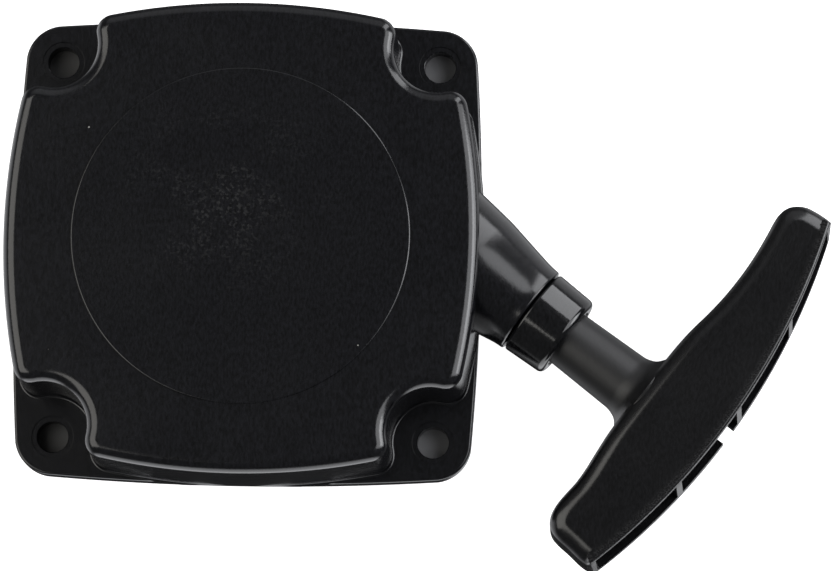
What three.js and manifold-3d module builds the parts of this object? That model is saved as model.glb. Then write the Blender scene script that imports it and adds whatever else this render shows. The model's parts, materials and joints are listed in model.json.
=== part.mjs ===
// Recoil starter of a small engine: a closed moulded case with its rope outlet, a sprung rope reel
// with two pawls under it, and a T-handle parked in the outlet.
// Millimetres, +Z up. The origin is the centre of the four fixing holes, on the flange's engine face.
// The reel turns about Z; the case's top is up and the engine side is down.
import * as THREE from "three";
import { mergeVertices } from "three/addons/utils/BufferGeometryUtils.js";
import Module from "manifold-3d";

const wasm = await Module();
wasm.setup();

// Fixing pattern and flange
const HOLE_PITCH = 75;
const HOLE_R = 3.1;
const HOLE_SEAT_R = 4.1;
const HOLE_SEAT_DEPTH = 0.5;
const FLANGE_T = 4.5;
const FLANGE_HALF = 45.0;
const FLANGE_BULGE = 1.3;
const FLANGE_CORNER_R = 7.5;

// Cover
const COVER_TOP = 25.5;
const COVER_HALF = 46.6;
const COVER_SIDE_R = 130;
const COVER_CORNER_R = 3.8;
const COVER_RECESS_R = 8.2;
const COVER_FILLET = 2.4;
const DRAFT = Math.tan(THREE.MathUtils.degToRad(1));
const WALL = 2.5;
const CEILING = COVER_TOP - WALL;

// Rope line: tangent to the winding, then straight through the outlet and the handle's stem
const ROPE_R = 1.5;
const ROPE_WOUND_R = 24.0;
const ROPE_Z = 12.5;
const ROPE_ANGLE = THREE.MathUtils.degToRad(-36.7);
const TUBE_END = 52.5;
const TUBE_BORE_R = 7.3;
const COLLAR_R = 9.1;
const COLLAR_END = 62.1;
const STEM_R = 5.7;

// Tube of the rope outlet: radius and distance along the rope, flattened to a half height
const TUBE_SHAPE = [
  [12.9, 27],
  [11.9, 36.5],
  [10.75, 43.4],
  [10.0, 47],
  [9.45, 50.3],
  [9.35, 52.1],
  [8.95, TUBE_END],
];
const TUBE_HALF_HEIGHT = 11.2;

// Reel stack, levels above the engine face
const POST_R = 5.5;
const POST_END = 3.05;
const REEL_BORE_R = 7.2;
const REEL_CORE_R = 15.6;
const REEL_FLANGE_R = 29.5;
const REEL_BOTTOM = 7.5;
const GROOVE_LOW = 9.2;
const GROOVE_HIGH = 15.8;
const REEL_TOP = 17.0;
const REEL_BOSS_R = 9.3;
const REEL_BOSS_TOP = 22.4;
const SPRING_PLATE_Z = 17.3;
const SPRING_PLATE_T = 0.6;
const WELL_R = 30.6;
const WELL_WALL_R = 32.8;
const WELL_LOW = 18.2;

// Pawls and the plate that drives them
const PAWL_PIVOT_R = 12.5;
const PAWL_LOW = 5.1;
const PAWL_T = 2.1;
const PAWL_SWING = THREE.MathUtils.degToRad(30);
const PIN_R = 1.9;
const PEG_R = 1.1;
const PEG_AT = new THREE.Vector2(6.5, -0.5);
const GUIDE_LOW = 3.6;
const GUIDE_T = 1.2;
const GUIDE_TURN = THREE.MathUtils.degToRad(40);

// Handle, measured along the rope (s, from HANDLE_AT) and across it (p)
const HANDLE_AT = 61.37;
const GRIP_T = 21;
const GRIP_TAPER = 0.2;
const GRIP_FILLET = 3.5;
const GRIP_WALL = 2.3;
const GRIP_MID = 7;
const GRIP_HALF = 41;
const RIM_APEX = 36.05;
const RIM_MID = 1.8;
const RIM_R = 134;
const RIM_FROM = -32.8;
const RIM_TO = 48.0;
const RIM_SLANT = 0.042;
const GRIP_RIBS = [-10.2, 8.4, 28.1];
const GRIP_RIB_T = 1.5;
const GRIP_SLOT = 4.6;
const GRIP_EDGE = [
  [27.5, 48.6],
  [25.9, 48.65],
  [23.9, 48.5],
  [21.9, 48.1],
  [20.2, 47.1],
  [19.0, 45.7],
  [18.5, 43.8],
  [18.6, 41.8],
  [19.1, 38.8],
  [19.6, 35],
  [19.9, 31],
  [19.95, 27],
  [19.8, 23.5],
  [19.4, 19.5],
  [18.8, 15.3],
  [18.45, 11],
  [18.3, 4],
  [18.2, -4],
  [18.25, -10],
  [18.65, -14.8],
  [19.05, -18.8],
  [19.15, -22],
  [18.9, -25],
  [18.8, -27.5],
  [19.1, -29.6],
  [19.9, -31.3],
  [21.2, -32.4],
  [23.0, -32.9],
  [26.0, -33.15],
  [29.0, -33.5],
  [30.6, -33.4],
];
const EDGE_STEPS = 40;

const GAP = 0.3;

const material = (color, roughness, metalness = 0) =>
  new THREE.MeshStandardMaterial({ color, roughness, metalness });
const caseBlack = material(0x16161a, 0.3);
const gripBlack = material(0x1b1b1d, 0.5);
const collarBlack = material(0x17171a, 0.28);
const reelGrey = material(0x2b2b2c, 0.55);
const steel = material(0x9a9a98, 0.35, 1);
const springSteel = material(0x5c6068, 0.3, 1);
const brass = material(0xa98a4a, 0.4, 1);
const ropeWhite = material(0xd8d6cc, 0.9);

// ---- Solids ----

// A geometry as a solid that can be joined and cut.
function solid(geometry) {
  const loose = geometry.index ? geometry.toNonIndexed() : geometry;
  const bare = new THREE.BufferGeometry();
  bare.setAttribute("position", loose.getAttribute("position"));
  const merged = mergeVertices(bare, 1e-4);
  const corners = [];
  for (let i = 0; i < merged.index.count; i += 3) {
    const [a, b, c] = [0, 1, 2].map((k) => merged.index.getX(i + k));
    if (a !== b && b !== c && c !== a) corners.push(a, b, c);
  }
  return new wasm.Manifold(
    new wasm.Mesh({
      numProp: 3,
      vertProperties: merged.getAttribute("position").array,
      triVerts: new Uint32Array(corners),
    }),
  );
}

function geometryOf(made) {
  const { vertProperties, triVerts } = made.getMesh();
  const geometry = new THREE.BufferGeometry();
  geometry.setAttribute("position", new THREE.BufferAttribute(vertProperties, 3));
  geometry.setIndex(new THREE.BufferAttribute(triVerts, 1));
  geometry.computeVertexNormals();
  return geometry;
}

const join = (...solids) => solids.reduce((all, next) => all.add(next));
const cut = (body, ...tools) => tools.reduce((left, tool) => left.subtract(tool), body);

function node(name, made, look) {
  const mesh = new THREE.Mesh(geometryOf(made), look);
  mesh.name = name;
  return mesh;
}

// ---- Shapes ----

// Points along a circular arc, both ends included.
function arc(x, y, r, from, to, steps) {
  const point = (i) => {
    const a = from + ((to - from) * i) / steps;
    return new THREE.Vector2(x + r * Math.cos(a), y + r * Math.sin(a));
  };
  return Array.from({ length: steps + 1 }, (_, i) => point(i));
}

// Solid of revolution about Z. The profile is a list of [radius, height].
function turned(profile, segments = 32) {
  const points = profile.map(([r, z]) => new THREE.Vector2(r, z));
  if (THREE.ShapeUtils.area(points) < 0) points.reverse();
  const geometry = new THREE.LatheGeometry(points, segments);
  return geometry.rotateX(Math.PI / 2);
}

// Ring with a rectangular section.
const ring = (inner, outer, low, high, segments) =>
  turned(
    [
      [inner, low],
      [outer, low],
      [outer, high],
      [inner, high],
      [inner, low],
    ],
    segments,
  );

const rod = (r, low, high, segments) =>
  turned(
    [
      [0, low],
      [r, low],
      [r, high],
      [0, high],
    ],
    segments,
  );

// Flat plate between two heights, with optional round or shaped holes.
function plate(outline, low, high, holes = []) {
  const shape = new THREE.Shape(outline);
  shape.holes = holes.map((points) => new THREE.Path(points));
  const geometry = new THREE.ExtrudeGeometry(shape, {
    depth: high - low,
    bevelEnabled: false,
  });
  return geometry.translate(0, 0, low);
}

const block = (x0, x1, y0, y1, z0, z1) =>
  new THREE.BoxGeometry(x1 - x0, y1 - y0, z1 - z0).translate(
    (x0 + x1) / 2,
    (y0 + y1) / 2,
    (z0 + z1) / 2,
  );

// Solid through outlines of one point count, lowest first and wound anticlockwise.
function loft(levels) {
  const count = levels[0].points.length;
  const positions = levels.flatMap(({ points, z }) =>
    points.flatMap((p) => [p.x, p.y, typeof z === "function" ? z(p) : z]),
  );
  const index = [];
  for (let level = 0; level < levels.length - 1; level++) {
    for (let i = 0; i < count; i++) {
      const a = level * count + i;
      const b = level * count + ((i + 1) % count);
      index.push(a, b, b + count, a, b + count, a + count);
    }
  }
  const top = (levels.length - 1) * count;
  const capOf = (points) => THREE.ShapeUtils.triangulateShape(points, []);
  capOf(levels[0].points).forEach(([a, b, c]) => index.push(c, b, a));
  capOf(levels.at(-1).points).forEach(([a, b, c]) => index.push(top + a, top + b, top + c));
  const geometry = new THREE.BufferGeometry();
  geometry.setAttribute("position", new THREE.Float32BufferAttribute(positions, 3));
  geometry.setIndex(index);
  return geometry;
}

// Turns points a quarter turn at a time, to make an outline from its first quarter.
function fourTimes(quarter) {
  const origin = new THREE.Vector2();
  return [0, 1, 2, 3].flatMap((k) =>
    quarter.map((p) => p.clone().rotateAround(origin, (k * Math.PI) / 2)),
  );
}

// Wire of round section along a curve.
function wire(curve, r, steps, sides) {
  const section = new THREE.Shape(arc(0, 0, r, 0, 2 * Math.PI, sides).slice(0, -1));
  return new THREE.ExtrudeGeometry(section, { extrudePath: curve, steps });
}

class Helix extends THREE.Curve {
  constructor(r, low, high, turns) {
    super();
    Object.assign(this, { r, low, high, turns });
  }
  getPoint(t, target = new THREE.Vector3()) {
    const a = 2 * Math.PI * this.turns * t;
    const z = this.low + (this.high - this.low) * t;
    return target.set(this.r * Math.cos(a), this.r * Math.sin(a), z);
  }
}

// ---- The rope's own frame: X along the rope towards the handle, Y across it, Z up ----

const ropeOrigin = new THREE.Vector3(0, ROPE_WOUND_R, 0)
  .applyAxisAngle(new THREE.Vector3(0, 0, 1), ROPE_ANGLE)
  .setZ(ROPE_Z);
const ropeFrame = new THREE.Matrix4()
  .makeRotationZ(ROPE_ANGLE)
  .setPosition(ropeOrigin);

// Solid of revolution about the rope's line. The profile is a list of [radius, distance].
const onRope = (profile, segments) => turned(profile, segments).rotateY(Math.PI / 2);

// ---- Case ----

const holeAt = HOLE_PITCH / 2;

function flangeOutline() {
  const sideR = (holeAt ** 2 + FLANGE_BULGE ** 2) / (2 * FLANGE_BULGE);
  const lean = Math.asin(holeAt / sideR);
  const side = arc(FLANGE_HALF + FLANGE_BULGE - sideR, 0, sideR, -lean, lean, 6);
  const corner = arc(holeAt, holeAt, FLANGE_CORNER_R, lean, Math.PI / 2 - lean, 6);
  return fourTimes([...side, ...corner.slice(1, -1)]);
}

// The cover's plan, moved inwards: four bowed sides, with a hollow round each fixing hole.
function coverOutline(inset) {
  const hole = new THREE.Vector2(holeAt, holeAt);
  const sideCentre = new THREE.Vector2(COVER_HALF - COVER_SIDE_R, 0);
  const toHole = hole.clone().sub(sideCentre);
  const round = Math.max(COVER_CORNER_R, inset + 0.8);
  const near = COVER_SIDE_R - round;
  const far = COVER_RECESS_R + round;
  const gapLength = toHole.length();
  const turn = Math.acos((near ** 2 + gapLength ** 2 - far ** 2) / (2 * near * gapLength));
  const sideEnd = toHole.angle() - turn;
  const corner = new THREE.Vector2(near, 0).rotateAround(new THREE.Vector2(), sideEnd).add(sideCentre);
  const inwards = hole.clone().sub(corner).angle();
  const other = new THREE.Vector2(corner.y, corner.x);
  const otherInwards = Math.PI / 2 - inwards;
  const cornerR = round - inset;
  const quarter = [
    ...arc(sideCentre.x, 0, COVER_SIDE_R - inset, -sideEnd, sideEnd, 6),
    ...arc(corner.x, corner.y, cornerR, sideEnd, inwards, 3).slice(1),
    ...arc(
      hole.x,
      hole.y,
      COVER_RECESS_R + inset,
      inwards + Math.PI,
      otherInwards + Math.PI,
      5,
    ).slice(1),
    ...arc(other.x, other.y, cornerR, otherInwards, Math.PI / 2 - sideEnd, 3).slice(1, -1),
  ];
  return fourTimes(quarter);
}

// Drafted body of the cover, or of its hollow, with a rounded top edge.
function coverBody(inset, low, high, fillet, steps) {
  const draftAt = (z) => inset + (z - FLANGE_T) * DRAFT;
  const levels = [{ z: low, points: coverOutline(draftAt(low)) }];
  for (let i = 0; i <= steps; i++) {
    const a = ((Math.PI / 2) * i) / steps;
    const z = high - fillet + fillet * Math.sin(a);
    levels.push({ z, points: coverOutline(draftAt(z) + fillet * (1 - Math.cos(a))) });
  }
  return solid(loft(levels));
}

const spokes = (count, start, make) =>
  Array.from({ length: count }, (_, i) => {
    const angle = start + (i * 2 * Math.PI) / count;
    return make(angle);
  });

const COVER_EAR_R = 35.6;
const EAR_ANGLES = [100, 190, 280].map(THREE.MathUtils.degToRad);

function starterCase() {
  const tubeSlab = solid(block(20, 60, -20, 20, -TUBE_HALF_HEIGHT, TUBE_HALF_HEIGHT));
  const tube = solid(onRope([[0, TUBE_SHAPE[0][1]], ...TUBE_SHAPE, [0, TUBE_END]]))
    .intersect(tubeSlab)
    .transform(ropeFrame.elements);
  const tubeBore = solid(
    onRope([
      [0, 30],
      [TUBE_BORE_R - 1, 30],
      [TUBE_BORE_R - 1, 43.4],
      [TUBE_BORE_R, 43.4],
      [TUBE_BORE_R, TUBE_END + 1],
      [0, TUBE_END + 1],
    ]).applyMatrix4(ropeFrame),
  );
  const shell = cut(
    join(
      solid(plate(flangeOutline(), 0, FLANGE_T)),
      coverBody(0, FLANGE_T - 1, COVER_TOP, COVER_FILLET, 3),
      tube,
    ),
    coverBody(WALL, -1, CEILING, 1, 1),
    tubeBore,
  );
  const post = solid(
    turned([
      [0, POST_END],
      [POST_R, POST_END],
      [POST_R, CEILING - 0.5],
      [POST_R + 0.5, CEILING],
      [POST_R + 0.5, CEILING + 1],
      [0, CEILING + 1],
    ]),
  );
  const well = solid(ring(WELL_R, WELL_WALL_R, WELL_LOW, CEILING + 1, 48));
  const ribs = spokes(8, 0, (angle) => {
    const reach = Math.abs(Math.sin(2 * angle)) > 0.5 ? 43.2 : 45;
    const rib = block(WELL_WALL_R - 0.8, reach, -0.8, 0.8, WELL_LOW, CEILING + 1);
    return solid(rib.rotateZ(angle));
  });
  const bosses = EAR_ANGLES.map((angle) =>
    solid(rod(3.4, WELL_LOW, CEILING + 1, 20).translate(COVER_EAR_R, 0, 0).rotateZ(angle)),
  );
  const bossHoles = EAR_ANGLES.map((angle) =>
    solid(rod(1.3, WELL_LOW - 1, CEILING - 0.5, 12).translate(COVER_EAR_R, 0, 0).rotateZ(angle)),
  );
  const fixings = spokes(4, Math.PI / 4, (angle) => {
    const hole = turned([
      [0, -1],
      [HOLE_R, -1],
      [HOLE_R, FLANGE_T - HOLE_SEAT_DEPTH],
      [HOLE_SEAT_R, FLANGE_T - HOLE_SEAT_DEPTH],
      [HOLE_SEAT_R, FLANGE_T + 1],
      [0, FLANGE_T + 1],
    ]);
    return solid(hole.translate(holeAt * Math.SQRT2, 0, 0).rotateZ(angle));
  });
  const screwHole = solid(rod(2.1, POST_END - 1, 15, 16));
  return cut(join(shell, post, well, ...ribs, ...bosses), ...bossHoles, ...fixings, screwHole);
}

// ---- Spring stage ----

// Flat spiral strip from the reel's boss out to the well's wall.
function recoilSpring() {
  const turns = 8;
  const perTurn = 20;
  const inner = REEL_BOSS_R + 0.9;
  const outer = WELL_R - 0.7;
  const half = 0.3;
  const edge = (side) =>
    Array.from({ length: turns * perTurn + 1 }, (_, i) => {
      const t = i / (turns * perTurn);
      const r = inner + (outer - inner) * t + side * half;
      const a = -2 * Math.PI * turns * t;
      return new THREE.Vector2(r * Math.cos(a), r * Math.sin(a));
    });
  const outline = [...edge(1), ...edge(-1).reverse()];
  return solid(plate(outline, WELL_LOW, CEILING - 0.5));
}

function springPlate() {
  const high = SPRING_PLATE_Z + SPRING_PLATE_T;
  const disc = solid(ring(REEL_BOSS_R + 1, WELL_WALL_R, SPRING_PLATE_Z, high, 48));
  const ears = EAR_ANGLES.map((angle) =>
    solid(rod(3.6, SPRING_PLATE_Z, high, 20).translate(COVER_EAR_R, 0, 0).rotateZ(angle)),
  );
  const holes = EAR_ANGLES.map((angle) =>
    solid(rod(1.7, SPRING_PLATE_Z - 1, high + 1, 12).translate(COVER_EAR_R, 0, 0).rotateZ(angle)),
  );
  return cut(join(disc, ...ears), ...holes);
}

const plateScrew = () =>
  solid(
    turned(
      [
        [0, 15.6],
        [1.9, 15.6],
        [2.8, 16.4],
        [2.8, 17.0],
        [1.0, 17.0],
        [1.0, 22],
        [0, 22],
      ],
      16,
    ),
  );

// ---- Reel ----

function ropeReel() {
  const body = solid(
    turned(
      [
        [REEL_BORE_R, REEL_BOTTOM],
        [REEL_FLANGE_R, REEL_BOTTOM + 0.5],
        [REEL_FLANGE_R, GROOVE_LOW - 0.4],
        [REEL_CORE_R, GROOVE_LOW],
        [REEL_CORE_R, GROOVE_HIGH],
        [REEL_FLANGE_R, GROOVE_HIGH + 0.4],
        [REEL_FLANGE_R, REEL_TOP],
        [REEL_BOSS_R, REEL_TOP],
        [REEL_BOSS_R, REEL_BOSS_TOP],
        [REEL_BORE_R, REEL_BOSS_TOP],
        [REEL_BORE_R, REEL_BOTTOM],
      ],
      48,
    ),
  );
  const pinHoles = [1, -1].map((side) =>
    solid(rod(PIN_R + GAP, REEL_BOTTOM - 1, 13.3, 16).translate(0, side * PAWL_PIVOT_R, 0)),
  );
  const knotPocket = solid(rod(3.1, REEL_BOTTOM - 1, 14.5, 16).translate(-11.6, 0, 0));
  const ropeHole = solid(block(-REEL_CORE_R - 1, -11.6, -1.8, 1.8, ROPE_Z - 1.8, ROPE_Z + 1.8));
  const hookSlot = solid(block(REEL_BORE_R - 1, REEL_BOSS_R + 1, -0.7, 0.7, WELL_LOW, 24));
  return cut(body, ...pinHoles, knotPocket, ropeHole, hookSlot);
}

const ropeWinding = () =>
  solid(
    turned(
      [
        [REEL_CORE_R + GAP, GROOVE_LOW + GAP],
        [ROPE_WOUND_R + 0.9, GROOVE_LOW + GAP],
        [ROPE_WOUND_R + ROPE_R, GROOVE_LOW + 1.4],
        [ROPE_WOUND_R + ROPE_R, GROOVE_HIGH - 1.4],
        [ROPE_WOUND_R + 0.9, GROOVE_HIGH - GAP],
        [REEL_CORE_R + GAP, GROOVE_HIGH - GAP],
        [REEL_CORE_R + GAP, GROOVE_LOW + GAP],
      ],
      48,
    ),
  );

// ---- Pawls and their guide plate ----

function pawl() {
  const outline = [
    ...arc(0, 0, 3.6, THREE.MathUtils.degToRad(75), THREE.MathUtils.degToRad(260), 10),
    new THREE.Vector2(7.5, -3.1),
    new THREE.Vector2(14.2, -0.6),
    new THREE.Vector2(16.4, 1.4),
    new THREE.Vector2(16.2, 4.2),
    new THREE.Vector2(13.6, 3.5),
    new THREE.Vector2(8.5, 2.2),
  ];
  const pivotHole = arc(0, 0, PIN_R + GAP, 0, 2 * Math.PI, 20).slice(0, -1);
  const arm = solid(plate(outline, PAWL_LOW, PAWL_LOW + PAWL_T, [pivotHole]));
  const peg = solid(
    rod(PEG_R, GUIDE_LOW + 0.1, PAWL_LOW + 1, 12).translate(PEG_AT.x, PEG_AT.y, 0),
  );
  return join(arm, peg);
}

// The peg's path, seen from the guide plate while the pawl swings out and the plate turns.
function pegPath(steps) {
  const origin = new THREE.Vector2();
  const pivot = new THREE.Vector2(0, PAWL_PIVOT_R);
  return Array.from({ length: steps + 1 }, (_, i) => {
    const share = i / steps;
    const peg = PEG_AT.clone().rotateAround(origin, PAWL_SWING * share).add(pivot);
    return peg.rotateAround(origin, -GUIDE_TURN * share);
  });
}

function ratchetGuide() {
  const lobeAt = THREE.MathUtils.degToRad(40);
  const outline = Array.from({ length: 60 }, (_, i) => {
    const a = (i / 60) * 2 * Math.PI;
    const r = 9.6 + 10.4 * ((1 + Math.cos(2 * (a - lobeAt))) / 2) ** 1.5;
    return new THREE.Vector2(r * Math.cos(a), r * Math.sin(a));
  });
  const bore = arc(0, 0, POST_R + GAP, 0, 2 * Math.PI, 32).slice(0, -1);
  const disc = solid(plate(outline, GUIDE_LOW, GUIDE_LOW + GUIDE_T, [bore]));
  const path = pegPath(8);
  const halfWidth = PEG_R + 0.4;
  const ahead = path[1].clone().sub(path[0]).angle();
  const end = path.at(-1).clone().sub(path.at(-2)).angle();
  const beside = (side) =>
    path.slice(1, -1).map((p, i) => {
      const along = path[i + 2].clone().sub(path[i]).normalize();
      return new THREE.Vector2(-along.y, along.x).multiplyScalar(side * halfWidth).add(p);
    });
  const slot = [
    ...beside(-1),
    ...arc(path.at(-1).x, path.at(-1).y, halfWidth, end - Math.PI / 2, end + Math.PI / 2, 6),
    ...beside(1).reverse(),
    ...arc(path[0].x, path[0].y, halfWidth, ahead + Math.PI / 2, ahead + 1.5 * Math.PI, 6),
  ];
  const slots = [0, Math.PI].map((turn) =>
    solid(plate(slot, GUIDE_LOW - 1, GUIDE_LOW + GUIDE_T + 1).rotateZ(turn)),
  );
  return cut(disc, ...slots);
}

const centreScrew = () =>
  cut(
    solid(
      turned(
        [
          [0, 0.4],
          [3.4, 0.4],
          [4.8, 1.1],
          [4.8, 1.9],
          [1.8, 1.9],
          [1.8, 13.5],
          [0, 14.6],
        ],
        24,
      ),
    ),
    solid(block(-2.6, 2.6, -0.5, 0.5, -1, 1.3)),
    solid(block(-0.5, 0.5, -2.6, 2.6, -1, 1.3)),
  );

// ---- Rope guide, rope and handle, in the rope's frame ----

const ropeGuide = () =>
  solid(
    onRope([
      [4.6, 43.7],
      [TUBE_BORE_R - GAP, 43.7],
      [TUBE_BORE_R - GAP, TUBE_END + GAP],
      [COLLAR_R, TUBE_END + GAP],
      [COLLAR_R - 0.35, COLLAR_END - 2],
      [COLLAR_R - 0.9, COLLAR_END - 0.7],
      [COLLAR_R - 2, COLLAR_END],
      [STEM_R + 0.7, COLLAR_END],
      [STEM_R + GAP, COLLAR_END - 0.8],
      [STEM_R + GAP, COLLAR_END - 6.8],
      [2.6, COLLAR_END - 9.5],
      [2.6, 46.5],
      [3.2, 44.8],
      [4.6, 43.7],
    ]),
  );

function ropeRun() {
  const length = HANDLE_AT + 23.5;
  const line = new THREE.LineCurve3(new THREE.Vector3(2, 0, 0), new THREE.Vector3(length, 0, 0));
  const rope = solid(wire(line, ROPE_R, 12, 10));
  const clearance = rod(ROPE_WOUND_R + ROPE_R + GAP, -5, 5, 48);
  return cut(rope, solid(clearance.translate(0, -ROPE_WOUND_R, 0)));
}

// The grip's plan, wound anticlockwise: the bowed outer rim, then both tips and the inner edge.
// Only the edge other than the rim moves in by inset; the rim moves out by reach.
function gripOutline(inset, reach) {
  const centre = RIM_APEX - RIM_R;
  const rimAngle = (p) => Math.asin((p - RIM_MID) / RIM_R);
  const rim = arc(centre, RIM_MID, RIM_R, rimAngle(RIM_FROM), rimAngle(RIM_TO), 9);
  const ends = GRIP_EDGE.map(([s, p]) => new THREE.Vector2(s, p));
  const inner = new THREE.SplineCurve([rim.at(-1), ...ends, rim[0]]).getPoints(EDGE_STEPS);
  const moved = inner.map((p, i) => {
    const before = inner[Math.max(i - 1, 0)];
    const along = inner[Math.min(i + 1, EDGE_STEPS)].clone().sub(before).normalize();
    const weight = Math.min(1, Math.min(i, EDGE_STEPS - i) / 2);
    const towards = new THREE.Vector2(-along.y, along.x).multiplyScalar(inset * weight);
    const shift = reach * (1 - weight);
    return p.clone().add(towards).setX(p.x + towards.x + shift);
  });
  const outer = rim.slice(1, -1).map((p) => p.clone().setX(p.x + reach));
  return [...outer, ...moved].map((p) => p.setX(p.x + HANDLE_AT));
}

// Body of the grip, or of its hollow: flat faces, rounded edges, thinner towards the tips, with
// the rim leaning back at the top.
function gripBody(inset, reach, thickness, fillet, steps) {
  const thin = (p) => 1 - GRIP_TAPER * ((p.y - GRIP_MID) / GRIP_HALF) ** 2;
  const level = (side, i) => {
    const a = ((Math.PI / 2) * i) / steps;
    const height = side * (thickness / 2 - fillet + fillet * Math.sin(a));
    const points = gripOutline(inset + fillet * (1 - Math.cos(a)), reach - height * RIM_SLANT);
    return { points, z: (p) => height * thin(p) };
  };
  const order = Array.from({ length: steps + 1 }, (_, i) => i);
  const lower = order.map((i) => level(-1, i)).reverse();
  return solid(loft([...lower, ...order.map((i) => level(1, i))]));
}

function handleGrip() {
  const at = (s) => HANDLE_AT + s;
  const stem = solid(
    onRope(
      [
        [0, at(-6)],
        [STEM_R - 0.8, at(-6)],
        [STEM_R, at(-5.2)],
        [STEM_R, at(0)],
        [6.15, at(14.8)],
        [6.8, at(16.6)],
        [8.2, at(18.0)],
        [8.2, at(21)],
        [0, at(21)],
      ],
      32,
    ),
  );
  const hollow = gripBody(GRIP_WALL, 6, GRIP_T - 2 * GRIP_WALL, 1, 1);
  const ribs = GRIP_RIBS.map((p) => {
    const outer = at(RIM_APEX - 0.7 - (p - RIM_MID) ** 2 / (2 * RIM_R));
    const half = GRIP_RIB_T / 2;
    return solid(block(at(19), outer, p - half, p + half, -GRIP_T / 2, GRIP_T / 2));
  });
  const seat = solid(block(at(18.8), at(21.4), -8, 8, -GRIP_T / 2, GRIP_T / 2));
  const filled = gripBody(0, 0, GRIP_T, GRIP_FILLET, 3);
  const inside = gripBody(1, 0, GRIP_T - 2, GRIP_FILLET - 1, 3);
  const webs = join(seat, ...ribs).intersect(inside);
  const body = cut(filled, hollow);
  const slot = solid(
    block(at(27.5), at(42), GRIP_SLOT - 1.75, GRIP_SLOT + 1.75, -GRIP_T, -4),
  );
  const bore = solid(onRope([[0, at(-8)], [2.1, at(-8)], [2.1, at(24)], [0, at(24)]], 16));
  return cut(join(body, stem, webs), slot, bore);
}

const handleWasher = () =>
  solid(ring(1.8, 4.6, HANDLE_AT + 21.7, HANDLE_AT + 22.7, 24).rotateY(Math.PI / 2));

const knot = (r, length) =>
  solid(new THREE.SphereGeometry(r, 16, 10).scale(length / (2 * r), 1, 1));

// ---- Assembly ----

const starter = new THREE.Group();
starter.name = "recoil_starter";

starter.add(
  node("starter_case", starterCase(), caseBlack),
  node("recoil_spring", recoilSpring(), springSteel),
  node("spring_cover", springPlate(), steel),
);
EAR_ANGLES.forEach((angle, i) => {
  const screw = node(`spring_cover_screw_${i + 1}`, plateScrew(), steel);
  screw.position.set(COVER_EAR_R * Math.cos(angle), COVER_EAR_R * Math.sin(angle), 0);
  starter.add(screw);
});

starter.add(
  node("rope_reel", ropeReel(), reelGrey),
  node("reel_bush", solid(ring(5.8, 6.9, REEL_BOTTOM + 0.2, REEL_BOSS_TOP, 32)), brass),
  node("rope_winding", ropeWinding(), ropeWhite),
);
const reelKnot = node("reel_knot", knot(2.6, 5.2), ropeWhite);
reelKnot.position.set(-11.6, 0, 11.2);
starter.add(reelKnot);

["a", "b"].forEach((letter, i) => {
  const side = new THREE.Group();
  side.rotation.z = i * Math.PI;
  const arm = node(`pawl_${letter}`, pawl(), steel);
  const pin = node(`pawl_pin_${letter}`, solid(rod(PIN_R, 5.0, 13, 16)), steel);
  arm.position.y = PAWL_PIVOT_R;
  pin.position.y = PAWL_PIVOT_R;
  side.add(arm, pin);
  starter.add(side);
});

starter.add(
  node("ratchet_guide", ratchetGuide(), steel),
  node("return_spring", solid(wire(new Helix(7.6, 5.35, 6.8, 1.9), 0.4, 44, 6)), springSteel),
  node("friction_spring", solid(ring(6.2, 8.2, 3.0, 3.3, 32)), springSteel),
  node("centre_washer", solid(ring(2.3, 8.6, 2.2, 2.8, 32)), steel),
  node("centre_screw", centreScrew(), steel),
);

const ropeLine = new THREE.Group();
ropeLine.position.copy(ropeOrigin);
ropeLine.rotation.z = ROPE_ANGLE;
ropeLine.add(
  node("rope_guide", ropeGuide(), collarBlack),
  node("rope_run", ropeRun(), ropeWhite),
  node("handle_grip", handleGrip(), gripBlack),
  node("handle_washer", handleWasher(), steel),
);
const handleKnot = node("handle_knot", knot(3.4, 6.4), ropeWhite);
handleKnot.position.x = HANDLE_AT + 27.1;
ropeLine.add(handleKnot);
starter.add(ropeLine);

export default starter;
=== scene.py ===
import json
import math

import bmesh
import bpy
import numpy as np
from mathutils import Matrix, Vector


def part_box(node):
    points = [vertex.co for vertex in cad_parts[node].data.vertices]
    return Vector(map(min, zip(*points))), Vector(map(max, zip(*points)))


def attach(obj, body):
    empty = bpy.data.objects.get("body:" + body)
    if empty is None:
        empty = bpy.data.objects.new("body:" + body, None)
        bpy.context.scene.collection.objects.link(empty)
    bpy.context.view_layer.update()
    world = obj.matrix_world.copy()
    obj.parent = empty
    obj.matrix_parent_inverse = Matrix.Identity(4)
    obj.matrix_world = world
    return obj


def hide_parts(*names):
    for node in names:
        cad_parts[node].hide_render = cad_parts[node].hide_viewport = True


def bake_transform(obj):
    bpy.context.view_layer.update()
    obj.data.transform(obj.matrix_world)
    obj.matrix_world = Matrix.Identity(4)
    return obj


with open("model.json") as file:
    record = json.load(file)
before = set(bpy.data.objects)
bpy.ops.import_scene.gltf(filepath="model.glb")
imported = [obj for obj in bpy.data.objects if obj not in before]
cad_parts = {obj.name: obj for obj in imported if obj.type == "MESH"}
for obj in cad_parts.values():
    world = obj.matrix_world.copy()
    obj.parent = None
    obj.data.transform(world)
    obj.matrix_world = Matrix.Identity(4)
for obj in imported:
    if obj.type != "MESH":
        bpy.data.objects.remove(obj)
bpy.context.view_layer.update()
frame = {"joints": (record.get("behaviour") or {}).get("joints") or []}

scene = bpy.context.scene
MM = 0.001

# ---- Dimensions, in millimetres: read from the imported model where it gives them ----


def mm_box(node):
    low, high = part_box(node)
    return [v / MM for v in low], [v / MM for v in high]


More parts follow.
